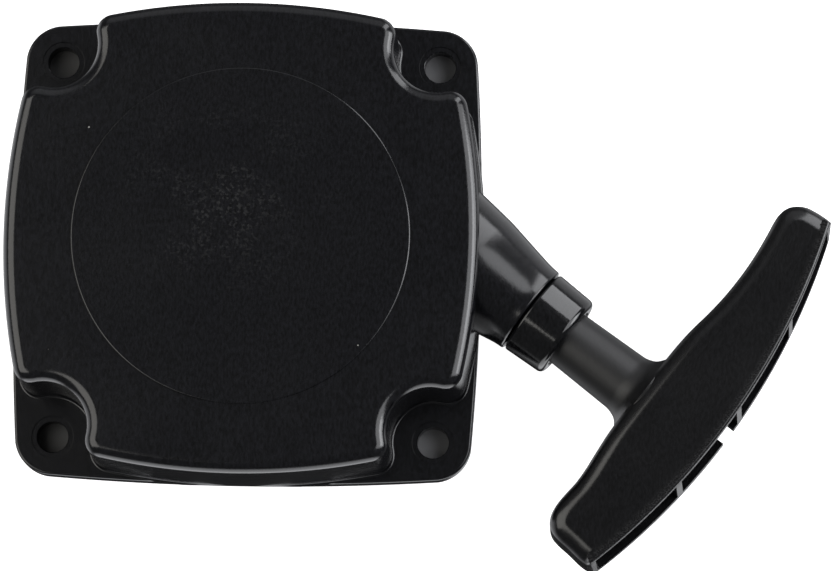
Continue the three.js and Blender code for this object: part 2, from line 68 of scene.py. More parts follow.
joint = {j["name"]: j for j in frame["joints"]}
case_low, case_high = mm_box("starter_case")
COVER_TOP = case_high[2]
COVER_HALF = -case_low[0]
reel_low, reel_high = mm_box("rope_reel")
REEL_FLANGE_R = reel_high[0]
REEL_BOTTOM = reel_low[2]
plate_low, plate_high = mm_box("spring_cover")
guide_low, guide_high = mm_box("ratchet_guide")
pawl_low, pawl_high = mm_box("pawl_a")
screw_low, screw_high = mm_box("centre_screw")
washer_low, washer_high = mm_box("centre_washer")
PAWL_PIVOT_R = joint["pawl_a_swing"]["pos_m"][1] / MM

pull = joint["handle_pull"]["axis"]
ROPE_ANGLE = math.atan2(pull[1], pull[0])
rope_low, rope_high = mm_box("rope_run")
ROPE_Z = (rope_low[2] + rope_high[2]) / 2
ROPE_R = (rope_high[2] - rope_low[2]) / 2
ROPE_WOUND_R = mm_box("rope_winding")[1][0] - ROPE_R

OVERLAP = 0.5  # how far a shape reaches into the one it joins
CUT = 1.0  # how far a cutting tool stands out of the surface it cuts

HOLE_PITCH = 75.0
HOLE_R = 3.1
HOLE_SEAT_R = 4.1
HOLE_SEAT_DEPTH = 0.25
FLANGE_T = 4.5
FLANGE_EDGE = 0.5
FLANGE_HALF = 45.0
FLANGE_BULGE = 1.3
FLANGE_CORNER_R = 7.5
COVER_SIDE_R = 130.0
COVER_CORNER_R = 3.8
COVER_RECESS_R = 8.2
COVER_FILLET = 2.4
DRAFT = math.tan(math.radians(1))  # slope of the cover's sides
WALL = 2.5
CEILING = COVER_TOP - WALL
RING_MARK_R = 33.0
RING_STEP = 0.3
TUBE_END = 52.5
TUBE_BORE_R = 7.3
TUBE_SEAT = 43.4
TUBE_SHAPE = [  # (distance along the rope, radius)
    (27, 12.9), (36.5, 11.8), (39.5, 11.4), (43.4, 10.65), (47, 9.95), (50.3, 9.35), (52.1, 9.2),
]
TUBE_HALF_HEIGHT = 12.2
TUBE_EDGE = 0.4
COLLAR_R = 8.95
COLLAR_END = 61.7
STEM_R = 5.7
POST_R = 5.5
WELL_R = 30.6
WELL_WALL_R = 32.8
WELL_LOW = 18.2
EAR_R = 35.6
EAR_PLACES = [(EAR_R * math.cos(a), EAR_R * math.sin(a)) for a in map(math.radians, (100, 190, 280))]

HANDLE_AT = 61.37
GRIP_T = 21.0
GRIP_TAPER = 0.2  # share of its thickness that the grip loses at GRIP_HALF from GRIP_MID
GRIP_FILLET = 3.5
GRIP_WALL = 2.3
GRIP_MID = 7.0
GRIP_HALF = 41.0
RIM_APEX = 36.05
RIM_MID = 1.8
RIM_R = 134.0
RIM_FROM = -32.8
RIM_TO = 48.0
RIM_SLANT = 0.042  # how much further the rim reaches out per millimetre of depth below the middle
GRIP_EDGE = [  # (distance along the rope, distance across) from the long arm's tip to the short arm's tip
    (27.5, 48.6), (25.9, 48.65), (23.9, 48.5), (21.9, 48.1), (20.2, 47.1), (19.0, 45.7), (18.5, 43.8),
    (18.6, 41.8), (19.1, 38.8), (19.6, 35), (19.9, 31), (19.95, 27), (19.8, 23.5), (19.4, 19.5),
    (18.8, 15.3), (18.45, 11), (18.3, 4), (18.2, -4), (18.25, -10), (18.65, -14.8), (19.05, -18.8),
    (19.15, -22), (18.9, -25), (18.8, -27.5), (19.1, -29.6), (19.9, -31.3), (21.2, -32.4),
    (23.0, -32.9), (26.0, -33.15), (29.0, -33.5), (30.6, -33.4),
]
GRIP_RIBS = (-10.2, 8.4, 28.1)
RIB_T = 1.5
GRIP_SLOT = 4.6
GRIP_SLOT_W = 3.5

# ---- Camera: almost straight down, from a little in front (-Y) and to the right (+X) ----

CAMERA_DISTANCE = 1040.0
CAMERA_LENS = 226.0
LEAN_FRONT = math.radians(8.42)
LEAN_SIDE = math.radians(1.91)
ROLL = math.radians(1.13)
LOOK_AT = (33.44, -6.09)


def add_camera():
    turn = (
        Matrix.Rotation(-LEAN_FRONT, 4, "X")
        @ Matrix.Rotation(-LEAN_SIDE, 4, "Y")
        @ Matrix.Rotation(-ROLL, 4, "Z")
    )
    data = bpy.data.cameras.new("camera")
    data.lens = CAMERA_LENS
    data.sensor_width = 36
    data.clip_end = 20  # metres
    camera = bpy.data.objects.new("camera", data)
    scene.collection.objects.link(camera)
    place = Vector((LOOK_AT[0], LOOK_AT[1], CAMERA_DISTANCE)) * MM
    camera.matrix_world = turn.transposed() @ Matrix.Translation(place)
    scene.camera = camera


# ---- Outlines ----


def arc(x, y, r, start, end, steps):
    angles = np.linspace(start, end, steps + 1)
    return [(x + r * math.cos(a), y + r * math.sin(a)) for a in angles]


def four_times(quarter):
    points = []
    for k in range(4):
        c, s = round(math.cos(k * math.pi / 2)), round(math.sin(k * math.pi / 2))
        points += [(c * x - s * y, s * x + c * y) for x, y in quarter]
    return points


def rounded(points, radius, steps=5):
    """A closed polygon with its corners rounded, each by radius or by its own entry of a list."""
    out = []
    count = len(points)
    for i in range(count):
        r = radius[i] if isinstance(radius, (list, tuple)) else radius
        here = Vector(points[i])
        back = Vector(points[i - 1]) - here
        ahead = Vector(points[(i + 1) % count]) - here
        half = back.angle(ahead) / 2
        if r <= 0 or half > math.radians(88):
            out.append(tuple(here))
            continue
        reach = min(r / math.tan(half), 0.48 * back.length, 0.48 * ahead.length)
        r = reach * math.tan(half)
        centre = here + (back.normalized() + ahead.normalized()).normalized() * (r / math.sin(half))
        first = here + back.normalized() * reach - centre
        last = here + ahead.normalized() * reach - centre
        sweep = first.angle_signed(last)
        for k in range(steps + 1):
            out.append(tuple(centre + Matrix.Rotation(-sweep * k / steps, 2) @ first))
    return out


def flange_outline(inset):
    hole = HOLE_PITCH / 2
    side_r = (hole**2 + FLANGE_BULGE**2) / (2 * FLANGE_BULGE)
    lean = math.asin(hole / side_r)
    side = arc(FLANGE_HALF + FLANGE_BULGE - side_r, 0, side_r - inset, -lean, lean, 24)
    corner = arc(hole, hole, FLANGE_CORNER_R - inset, lean, math.pi / 2 - lean, 16)
    return four_times(side + corner[1:-1])


def cover_outline(inset, base=COVER_CORNER_R):
    """The cover's plan moved inwards: four bowed sides, with a hollow round each fixing hole."""
    hole = HOLE_PITCH / 2
    round_r = max(base, inset + 0.35)
    near = COVER_SIDE_R - round_r
    far = COVER_RECESS_R + round_r
    centre_x = COVER_HALF - COVER_SIDE_R
    gap = math.hypot(hole - centre_x, hole)
    turn = math.acos((near**2 + gap**2 - far**2) / (2 * near * gap))
    end = math.atan2(hole, hole - centre_x) - turn
    corner = (centre_x + near * math.cos(end), near * math.sin(end))
    inwards = math.atan2(hole - corner[1], hole - corner[0])
    other = (corner[1], corner[0])
    other_inwards = math.pi / 2 - inwards
    small = round_r - inset
    quarter = arc(centre_x, 0, COVER_SIDE_R - inset, -end, end, 32)
    quarter += arc(*corner, small, end, inwards, 9)[1:]
    quarter += arc(hole, hole, COVER_RECESS_R + inset, inwards + math.pi, other_inwards + math.pi, 20)[1:]
    quarter += arc(*other, small, other_inwards, math.pi / 2 - end, 9)[1:-1]
    return four_times(quarter)


def spline(points, steps):
    """Uniform Catmull-Rom curve through the points, in steps segments."""
    p = [Vector(q) for q in points]
    out = []
    for k in range(steps + 1):
        t = k / steps * (len(p) - 1)
        i = min(int(t), len(p) - 2)
        w = t - i
        p0, p1, p2, p3 = p[max(i - 1, 0)], p[i], p[i + 1], p[min(i + 2, len(p) - 1)]
        v0, v1 = (p2 - p0) / 2, (p3 - p1) / 2
        out.append(
            (2 * p1 - 2 * p2 + v0 + v1) * w**3 + (-3 * p1 + 3 * p2 - 2 * v0 - v1) * w**2 + v0 * w + p1
        )
    return out


# ---- Meshes ----

# ROPE_FRAME has its X along the rope, from beside the reel's axis to the handle.
# ON_ROPE has its Z there, for what is turned round the rope.
ROPE_FRAME = Matrix.Rotation(ROPE_ANGLE, 4, "Z") @ Matrix.Translation((0, ROPE_WOUND_R, ROPE_Z))
ON_ROPE = ROPE_FRAME @ Matrix.Rotation(math.pi / 2, 4, "Y")


def mesh_object(name, verts, faces, place=None):
    verts = [Vector(v) for v in verts]
    if place is not None:
        verts = [place @ v for v in verts]
    mesh = bpy.data.meshes.new(name)
    mesh.from_pydata([v * MM for v in verts], [], faces)
    work = bmesh.new()
    work.from_mesh(mesh)
    bmesh.ops.remove_doubles(work, verts=work.verts, dist=1e-7)
    bmesh.ops.recalc_face_normals(work, faces=work.faces)
    if work.calc_volume(signed=True) < 0:
        bmesh.ops.reverse_faces(work, faces=work.faces)
    work.to_mesh(mesh)
    work.free()
    piece = bpy.data.objects.new(name, mesh)
    scene.collection.objects.link(piece)
    return piece


def lathe(name, profile, segments=96, place=None):
    """Solid of revolution about Z of a closed profile of (radius, height)."""
    verts, rings = [], []
    for r, z in profile:
        if r < 1e-6:
            rings.append([len(verts)] * segments)
            verts.append((0, 0, z))
            continue
        rings.append(list(range(len(verts), len(verts) + segments)))
        angles = np.linspace(0, 2 * math.pi, segments, endpoint=False)
        verts += [(r * math.cos(a), r * math.sin(a), z) for a in angles]
    faces = []
    for a, b in zip(rings, rings[1:] + rings[:1]):
        for i in range(segments):
            j = (i + 1) % segments
            face = list(dict.fromkeys([a[i], a[j], b[j], b[i]]))
            if len(face) > 2:
                faces.append(face)
    return mesh_object(name, verts, faces, place)


def loft(name, levels, place=None):
    """Solid through outlines of one point count. Each level is (points, height or heights)."""
    count = len(levels[0][0])
    verts, faces = [], []
    for points, z in levels:
        heights = z if isinstance(z, (list, np.ndarray)) else [z] * count
        verts += [(p[0], p[1], h) for p, h in zip(points, heights)]
    for level in range(len(levels) - 1):
        for i in range(count):
            a, b = level * count + i, level * count + (i + 1) % count
            faces.append((a, b, b + count, a + count))
    top = (len(levels) - 1) * count
    faces.append(tuple(range(count))[::-1])
    faces.append(tuple(range(top, top + count)))
    return mesh_object(name, verts, faces, place)


def moved_in(points, inset):
    """A closed anticlockwise outline moved inwards along its corners' normals."""
    count = len(points)
    out = []
    for i, p in enumerate(points):
        ahead = Vector(points[(i + 1) % count]) - Vector(points[i - 1])
        ahead.normalize()
        out.append((p[0] - ahead.y * inset, p[1] + ahead.x * inset))
    return out


def edge_steps(edge, count):
    """(inset, rise) along a quarter round, from the side of a plate to its face."""
    return [(edge * (1 - math.cos(a)), edge * math.sin(a)) for a in np.linspace(0, math.pi / 2, count)]


def plate(name, outline, low, high, edge=0.2, place=None):
    """Flat plate with rounded edges."""
    steps = edge_steps(edge, 4)
    levels = [(moved_in(outline, inset), low + edge - rise) for inset, rise in reversed(steps)]
    levels += [(moved_in(outline, inset), high - edge + rise) for inset, rise in steps]
    return loft(name, levels, place)


def block(x0, x1, y0, y1, z0, z1, place=None):
    return plate("tool", [(x0, y0), (x1, y0), (x1, y1), (x0, y1)], z0, z1, 0.0, place)


def rod(r, low, high, x=0.0, y=0.0, segments=48, place=None):
    shift = Matrix.Translation((x, y, 0))
    profile = [(0, low), (r, low), (r, high), (0, high)]
    return lathe("tool", profile, segments, place @ shift if place is not None else shift)


def boolean(piece, tools, operation="DIFFERENCE"):
    for tool in tools:
        change = piece.modifiers.new("change", "BOOLEAN")
        change.operation = operation
        change.object = tool
        change.solver = "MANIFOLD"
    bpy.context.view_layer.update()
    result = piece.evaluated_get(bpy.context.evaluated_depsgraph_get())
    changed = bpy.data.meshes.new_from_object(result)
    piece.modifiers.clear()
    piece.data = changed
    for tool in tools:
        bpy.data.objects.remove(tool)


def finish_piece(piece, name, body, material, nodes, angle=34):
    """Name, material, smooth shading with edges sharper than angle, and the piece's place in the frame."""
    piece.name = name
    piece.data.name = name
    piece.data.materials.clear()
    piece.data.materials.append(material)
    piece.data.shade_smooth()
    piece.data.set_sharp_from_angle(angle=math.radians(angle))
    weigh = piece.modifiers.new("normals", "WEIGHTED_NORMAL")
    weigh.keep_sharp = True
    weigh.weight = 80
    if body is not None:
        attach(piece, body)
    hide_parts(*nodes)


# ---- Materials ----


class Nodes:
    """A material's node tree, with short calls for the nodes that the finishes share."""

    def __init__(self, name):
        self.material = bpy.data.materials.new(name)
        self.material.use_nodes = True
        self.tree = self.material.node_tree
        self.shader = self.tree.nodes["Principled BSDF"]
        self.place = self.tree.nodes.new("ShaderNodeTexCoord").outputs["Object"]

    def add(self, kind, **values):
        node = self.tree.nodes.new(kind)
        for key, value in values.items():
            if hasattr(node, key):
                setattr(node, key, value)
            else:
                node.inputs[key.replace("_", " ")].default_value = value
        return node

    def link(self, a, b):
        self.tree.links.new(a, b)

    def mapped(self, scale, turn=(0, 0, 0)):
        node = self.add("ShaderNodeMapping")
        node.inputs["Scale"].default_value = scale
        node.inputs["Rotation"].default_value = turn
        self.link(self.place, node.inputs["Vector"])
        return node.outputs["Vector"]

    def noise(self, scale, detail=2.0, vector=None):
        node = self.add("ShaderNodeTexNoise", Scale=scale, Detail=detail)
        self.link(vector or self.place, node.inputs["Vector"])
        return node.outputs["Fac"]

    def spread(self, value, low, high, out_low=0.0, out_high=1.0):
        node = self.add("ShaderNodeMapRange")
        node.inputs["From Min"].default_value = low
        node.inputs["From Max"].default_value = high
        node.inputs["To Min"].default_value = out_low
        node.inputs["To Max"].default_value = out_high
        self.link(value, node.inputs["Value"])
        return node.outputs["Result"]

    def math(self, operation, a, b):
        node = self.add("ShaderNodeMath", operation=operation)
        for socket, value in zip(node.inputs, (a, b)):
            if isinstance(value, (int, float)):
                socket.default_value = value
            else:
                self.link(value, socket)
        return node.outputs["Value"]

    def mix(self, share, a, b):
        node = self.add("ShaderNodeMix", data_type="RGBA")
        self.link(share, node.inputs["Factor"])
        for socket, value in zip((node.inputs[6], node.inputs[7]), (a, b)):
            if isinstance(value, tuple):
                socket.default_value = (*value, 1)
            else:
                self.link(value, socket)
        return node.outputs[2]

    def bump(self, height, strength, distance, under=None):
        node = self.add("ShaderNodeBump", Strength=strength, Distance=distance)
        self.link(height, node.inputs["Height"])
        if under is not None:
            self.link(under, node.inputs["Normal"])
        return node.outputs["Normal"]

    def specks(self, per_metre, size, share):
        """Sparse small dots: 1 on a dot, 0 elsewhere."""
        cells = self.add("ShaderNodeTexVoronoi", Scale=per_metre)
        self.link(self.place, cells.inputs["Vector"])
        near = self.spread(cells.outputs["Distance"], size, size * 0.5)
        pick = self.add("ShaderNodeSeparateColor")
        self.link(cells.outputs["Color"], pick.inputs["Color"])
        chosen = self.math("LESS_THAN", pick.outputs["Red"], share)
        return self.math("MULTIPLY", near, chosen)


SINK_DEPTH = 0.0012  # depths of relief, in metres
GRAIN_DEPTH = 0.00003
BRUSH_DEPTH = 0.00004
BRAID_DEPTH = 0.0003
DUST_COLOUR = (0.3, 0.3, 0.28)
RUBBED_AT = (-3, 8)
STEM_ROOT = 17  # from the handle's foot to the grip


def moulded_plastic(name, colour, roughness, grain, dust=0.0, wave=0.12, worn=None, satin=None):
    """Moulding with fine rubbing marks, soft sink marks and dust.
    worn(nodes) gives its pale rubbed areas and satin(nodes) its extra roughness."""
    n = Nodes(name)
    cloud = n.noise(45.0, 4.0)
    marks = n.noise(1.0, 3.0, n.mapped((2300, 1000, 1000)))
    dark = tuple(c * 0.35 for c in colour)
    light = tuple(c * 1.65 for c in colour)
    shade = n.mix(n.spread(marks, 0.32, 0.68), dark, light)
    rough = n.spread(cloud, 0.3, 0.7, roughness * 0.9, roughness * 1.15)
    if worn:
        rubbed = worn(n)
        shade = n.mix(rubbed, shade, tuple(c + 0.03 for c in colour))
        rough = n.math("ADD", rough, n.math("MULTIPLY", rubbed, 0.35))
    if satin:
        rough = n.math("ADD", rough, satin(n))
    if dust:
        shade = n.mix(n.specks(300, 0.06, dust), shade, DUST_COLOUR)
    n.link(shade, n.shader.inputs["Base Color"])
    n.link(rough, n.shader.inputs["Roughness"])
    sink = n.bump(n.noise(38.0, 1.0), wave, SINK_DEPTH)
    rubbing = n.bump(marks, 0.2, GRAIN_DEPTH, sink)
    n.link(n.bump(n.noise(grain, 3.0), 0.25, GRAIN_DEPTH, rubbing), n.shader.inputs["Normal"])
    n.shader.inputs["IOR"].default_value = 1.5
    return n.material


def distance_from(n, point):
    """Distance in plan, in metres, from a point given in millimetres."""
    node = n.add("ShaderNodeVectorMath", operation="DISTANCE")
    n.link(n.mapped((1, 1, 0)), node.inputs[0])
    node.inputs[1].default_value = (point[0] * MM, point[1] * MM, 0)
    return node.outputs["Value"]


def rubbed_disc(n):
    """Pale scaly patch a little above the middle of the cover, as a share from 0 to 1."""
    near = n.spread(distance_from(n, RUBBED_AT), 24 * MM, 4 * MM)
    islands = n.spread(n.noise(130.0, 3.0), 0.42, 0.6)
    scales = n.spread(n.noise(1500.0, 5.0), 0.52, 0.64)
    return n.math("MULTIPLY", n.math("MULTIPLY", near, islands), n.math("MULTIPLY", scales, 0.3))


def from_rim_centre(n):
    """Distance in plan from the centre of the arc of the grip's rim."""
    return distance_from(n, ROPE_FRAME @ Vector((HANDLE_AT + RIM_APEX - RIM_R, RIM_MID, 0)))


def moulding_flash(n):
    """Rough pale band that follows the rim of the grip's upper face."""
    band = n.spread(from_rim_centre(n), (RIM_R - 2.4) * MM, (RIM_R - 1.4) * MM)
    height = n.add("ShaderNodeSeparateXYZ")
    n.link(n.place, height.inputs["Vector"])
    upper = n.math("GREATER_THAN", height.outputs["Z"], (ROPE_Z + 0.3 * GRIP_T) * MM)
    torn = n.spread(n.noise(1.0, 6.0, n.mapped((2600, 3800, 400))), 0.44, 0.62)
    return n.math("MULTIPLY", n.math("MULTIPLY", band, upper), n.math("MULTIPLY", torn, 0.25))


def satin_stem(n):
    """Extra roughness on the handle's stem."""
    stem_end = RIM_R - RIM_APEX + STEM_ROOT
    return n.spread(from_rim_centre(n), stem_end * MM, (stem_end + 4) * MM, 0.24, 0.0)


def metal(name, colour, roughness, brushed=None):
    n = Nodes(name)
    cloud = n.noise(120.0, 4.0)
    dark = tuple(c * 0.8 for c in colour)
    n.link(n.mix(n.spread(cloud, 0.3, 0.7), dark, colour), n.shader.inputs["Base Color"])
    n.link(n.spread(cloud, 0.3, 0.7, roughness * 0.8, roughness * 1.3), n.shader.inputs["Roughness"])
    lines = n.noise(1.0, 2.0, n.mapped(brushed or (900, 900, 900)))
    n.link(n.bump(lines, 0.15, BRUSH_DEPTH), n.shader.inputs["Normal"])
    n.shader.inputs["Metallic"].default_value = 1.0
    return n.material


def braided_rope(name):
    n = Nodes(name)
    waves = []
    for lean in (1, -1):
        wave = n.add("ShaderNodeTexWave", Scale=1.0, Distortion=0.4)
        wave.bands_direction = "DIAGONAL"
        along = n.mapped((330, 420 * lean, 420 * lean), (0, 0, -ROPE_ANGLE))
        n.link(along, wave.inputs["Vector"])
        waves.append(wave.outputs["Fac"])
    braid = n.math("MAXIMUM", *waves)
    # painted shade: the braid's grooves are coloured darker than its raised strands
    n.link(n.mix(braid, (0.34, 0.33, 0.3), (0.8, 0.79, 0.74)), n.shader.inputs["Base Color"])
    n.link(n.bump(braid, 0.8, BRAID_DEPTH), n.shader.inputs["Normal"])
    n.shader.inputs["Roughness"].default_value = 0.8
    n.shader.inputs["Sheen Weight"].default_value = 0.3
    return n.material


case_black = moulded_plastic("case_black", (0.0036, 0.0037, 0.0046), 0.17, 2600, dust=0.02, worn=rubbed_disc)
guide_black = moulded_plastic("guide_black", (0.0036, 0.0037, 0.0042), 0.11, 2200, wave=0.6)
grip_black = moulded_plastic(
    "grip_black", (0.0028, 0.0028, 0.0032), 0.22, 1500, worn=moulding_flash, satin=satin_stem
)
reel_plastic = moulded_plastic("reel_plastic", (0.035, 0.035, 0.037), 0.5, 1800)
rope_white = braided_rope("rope_white")
spring_steel = metal("spring_steel", (0.26, 0.28, 0.33), 0.25)
zinc_steel = metal("zinc_steel", (0.62, 0.61, 0.57), 0.32)
hard_steel = metal("hard_steel", (0.34, 0.33, 0.32), 0.36, (300, 3000, 300))
bush_brass = metal("bush_brass", (0.72, 0.53, 0.25), 0.3)

# ---- Case ----


def cover_body(inset, low, high, fillet, base, steps, foot=0.0):
    """The cover's shape from low to high with a filleted top, and a fillet foot high on the flange."""

    def draft(z):
        return inset + (z - FLANGE_T) * DRAFT

    levels = []
    if foot:
        for a in np.linspace(0, math.pi / 2, 6):
            z = FLANGE_T + foot * (1 - math.cos(a))
            outline = cover_outline(draft(z) - foot * (1 - math.sin(a)), base)
            outline = [tuple(max(-COVER_HALF, min(COVER_HALF, v)) for v in p) for p in outline]
            if not levels:
                levels.append((outline, FLANGE_T - OVERLAP))
            levels.append((outline, z))
    else:
        levels.append((cover_outline(draft(low), base), low))
    for a in np.linspace(0, math.pi / 2, steps + 1):
        z = high - fillet + fillet * math.sin(a)
        levels.append((cover_outline(draft(z) + fillet * (1 - math.cos(a)), base), z))
    return loft("cover", levels)


def outlet_tube():
    """Tapered tube of the rope outlet: round at its end, flattened a little towards the case."""
    along = spline(TUBE_SHAPE, 60)
    u_end, r_end = along[-1]
    along += [Vector((u_end + rise, r_end - inset)) for inset, rise in edge_steps(TUBE_EDGE, 7)[1:]]
    angles = np.linspace(0, 2 * math.pi, 128, endpoint=False)
    levels = []
    for u, r in along:
        half = min(r, TUBE_HALF_HEIGHT)
        levels.append(([(half * math.cos(a), r * math.sin(a)) for a in angles], u))
    return loft("tube", levels, ON_ROPE)


def starter_case():
    steps = edge_steps(FLANGE_EDGE, 5)
    levels = [(flange_outline(inset), FLANGE_EDGE - rise) for inset, rise in reversed(steps)]
    levels += [(flange_outline(inset), FLANGE_T - FLANGE_EDGE + rise) for inset, rise in steps]
    case = loft("starter_case", levels)
    cover = cover_body(0, 0, COVER_TOP, COVER_FILLET, COVER_CORNER_R, 10, foot=0.5)
    boolean(case, [cover, outlet_tube()], "UNION")
    hollow = cover_body(WALL, -CUT, CEILING, 1.2, WALL + 1.4, 5)
    throat_r = 6.3
    bore = [
        (0, 30), (throat_r, 30), (throat_r, TUBE_SEAT), (TUBE_BORE_R, TUBE_SEAT),
        (TUBE_BORE_R, TUBE_END + CUT), (0, TUBE_END + CUT),
    ]
    boolean(case, [hollow, lathe("bore", bore, 96, ON_ROPE)])

    roof = CEILING + OVERLAP
    post_low = 3.05
    screw_post = [(0, post_low), (POST_R, post_low), (POST_R, CEILING - 0.5), (POST_R + 0.5, roof), (0, roof)]
    inside = [lathe("post", rounded(screw_post, [0, 0.4, 1, 0, 0], 4), 64)]
    well = [(WELL_R, WELL_LOW), (WELL_WALL_R, WELL_LOW), (WELL_WALL_R, roof), (WELL_R, roof)]
    inside.append(lathe("well", rounded(well, [0.3, 0.3, 0, 0], 3), 128))
    rib_from, rib_half = WELL_WALL_R - 0.8, 0.8
    for k in range(8):
        reach = 43.2 if k % 2 else 44.6
        rib = [(rib_from, -rib_half), (reach, -rib_half), (reach, rib_half), (rib_from, rib_half)]
        inside.append(plate("rib", rib, WELL_LOW, roof, 0.2, Matrix.Rotation(k * math.pi / 4, 4, "Z")))
    inside += [rod(3.4, WELL_LOW, roof, *ear) for ear in EAR_PLACES]
    boolean(case, inside, "UNION")

    cuts = [rod(2.1, 2, 15)]
    cuts += [rod(1.3, WELL_LOW - CUT, CEILING - 0.5, *ear, 24) for ear in EAR_PLACES]
    seat = FLANGE_T - HOLE_SEAT_DEPTH
    seat_edge_r = HOLE_SEAT_R + 0.08
    hole = [
        (0, -CUT), (HOLE_R + 0.4, -CUT), (HOLE_R + 0.4, 0), (HOLE_R, 0.4), (HOLE_R, seat - 0.1),
        (HOLE_R + 0.1, seat), (HOLE_SEAT_R, seat), (seat_edge_r, FLANGE_T), (seat_edge_r, FLANGE_T + CUT),
        (0, FLANGE_T + CUT),
    ]
    for x in (-1, 1):
        for y in (-1, 1):
            shift = Matrix.Translation((x * HOLE_PITCH / 2, y * HOLE_PITCH / 2, 0))
            cuts.append(lathe("fixing", hole, 64, shift))
    boolean(case, cuts)
    low, high = COVER_TOP - OVERLAP, COVER_TOP + RING_STEP
    step = [(0, low), (RING_MARK_R, low), (RING_MARK_R, high), (0, high)]
    boolean(case, [lathe("ring_mark", rounded(step, [0, 0, RING_STEP, 0], 6), 256)], "UNION")
    finish_piece(case, "starter_case_moulding", "housing", case_black, ["starter_case"])


# ---- Rope guide and handle ----


def rope_guide():
    """Collar on the outlet's end, with a seat inside it for the handle's stem."""
    sleeve_r = TUBE_BORE_R - 0.3
    mouth_r = STEM_R + 0.3
    eye_r = 2.6
    profile = [
        (4.6, 43.7), (sleeve_r, 43.7), (sleeve_r, TUBE_END - 0.3), (7.9, TUBE_END + 0.1),
        (COLLAR_R, TUBE_END + 0.5), (COLLAR_R - 0.4, COLLAR_END), (mouth_r, COLLAR_END),
        (mouth_r, COLLAR_END - 6.8), (eye_r, COLLAR_END - 9.5), (eye_r, 46.0),
    ]
    radii = [0.3, 0.3, 0, 0, 0.5, 2.3, 0.8, 0.3, 0.8, 1.5]
    piece = lathe("rope_guide", rounded(profile, radii, 7), 128, ON_ROPE)
    finish_piece(piece, "rope_guide_collar", "housing", guide_black, ["rope_guide"])


def grip_outline(inset, reach, rim_in=0.0, steps=160):
    """The grip's plan, anticlockwise: the bowed rim, then both tips and the inner edge.
    The inner edge moves in by inset. The rim moves out by reach, less rim_in."""
    centre = RIM_APEX - RIM_R

    def rim_angle(p):
        return math.asin((p - RIM_MID) / RIM_R)

    rim = [Vector(q) for q in arc(centre, RIM_MID, RIM_R, rim_angle(RIM_FROM), rim_angle(RIM_TO), 90)]
    inner = spline([rim[-1], *GRIP_EDGE, rim[0]], steps)
    out = [Vector((q.x + reach - rim_in, q.y)) for q in rim[1:-1]]
    ramp = steps / 20
    for i, q in enumerate(inner):
        along = (inner[min(i + 1, steps)] - inner[max(i - 1, 0)]).normalized()
        weight = min(1.0, min(i, steps - i) / ramp)
        shift = (reach - rim_in) * (1 - weight)
        out.append(Vector((q.x - along.y * inset * weight + shift, q.y + along.x * inset * weight)))
    return [(q.x + HANDLE_AT, q.y) for q in out]


def grip_body(inset, reach, thickness, fillet, steps, rim_round=0.0):
    """The grip's shape, thinner towards both tips; rim_round is the radius of the rim's edges."""

    def thin(p):
        return 1 - GRIP_TAPER * ((p[1] - GRIP_MID) / GRIP_HALF) ** 2

    levels = {-1: [], 1: []}
    for a in np.linspace(0, math.pi / 2, steps + 1):
        height = thickness / 2 - fillet + fillet * math.sin(a)
        rim_in = 0.0
        if rim_round:
            near_edge = max(0.0, 1 - (thickness / 2 - height) / rim_round)
            rim_in = rim_round * (1 - math.sqrt(1 - near_edge**2))
        for side in (-1, 1):
            rim_reach = reach - side * height * RIM_SLANT
            outline = grip_outline(inset + fillet * (1 - math.cos(a)), rim_reach, rim_in)
            levels[side].append((outline, np.array([side * height * thin(p) for p in outline])))
    return loft("grip", levels[-1][::-1] + levels[1], ROPE_FRAME)


def handle_grip():
    def at(s):
        return HANDLE_AT + s

    def full_height(x0, x1, y0, y1):
        return block(at(x0), at(x1), y0, y1, -GRIP_T / 2, GRIP_T / 2, ROPE_FRAME)

    grip = grip_body(0, 0, GRIP_T, GRIP_FILLET, 10, rim_round=0.5)
    inside = grip_body(1, 0, GRIP_T - 2, GRIP_FILLET - 1, 4)
    hollow = grip_body(GRIP_WALL, 6, GRIP_T - 2 * GRIP_WALL, 1.0, 4)
    boolean(grip, [hollow])
    webs = full_height(18.8, 21.4, -8, 8)
    ribs = [full_height(19, RIM_APEX + 2, p - RIB_T / 2, p + RIB_T / 2) for p in GRIP_RIBS]
    boolean(webs, ribs, "UNION")
    boolean(webs, [inside], "INTERSECT")
    root_r = 9.6
    stem_profile = [
        (0, at(-6)), (STEM_R, at(-6)), (STEM_R, at(0)), (6.15, at(15.0)), (6.95, at(16.9)),
        (root_r, at(18.9)), (root_r, at(20.5)), (0, at(20.5)),
    ]
    stem = lathe("stem", rounded(stem_profile, [0, 1.0, 0, 6, 3, 0, 0, 0], 6), 96, ON_ROPE)
    boolean(grip, [webs, stem], "UNION")
    low, high = GRIP_SLOT - GRIP_SLOT_W / 2, GRIP_SLOT + GRIP_SLOT_W / 2
    slot_outline = [(at(27.5), low), (at(42), low), (at(42), high), (at(27.5), high)]
    slot = plate("slot", rounded(slot_outline, [1.2, 0, 0, 1.2], 4), -GRIP_T, -4, 0.0, ROPE_FRAME)
    bore_r = 2.1
    bore = lathe("bore", [(0, at(-8)), (bore_r, at(-8)), (bore_r, at(24)), (0, at(24))], 48, ON_ROPE)
    boolean(grip, [slot, bore])
    finish_piece(grip, "handle_grip_moulding", "handle", grip_black, ["handle_grip"])


# ---- Rope ----


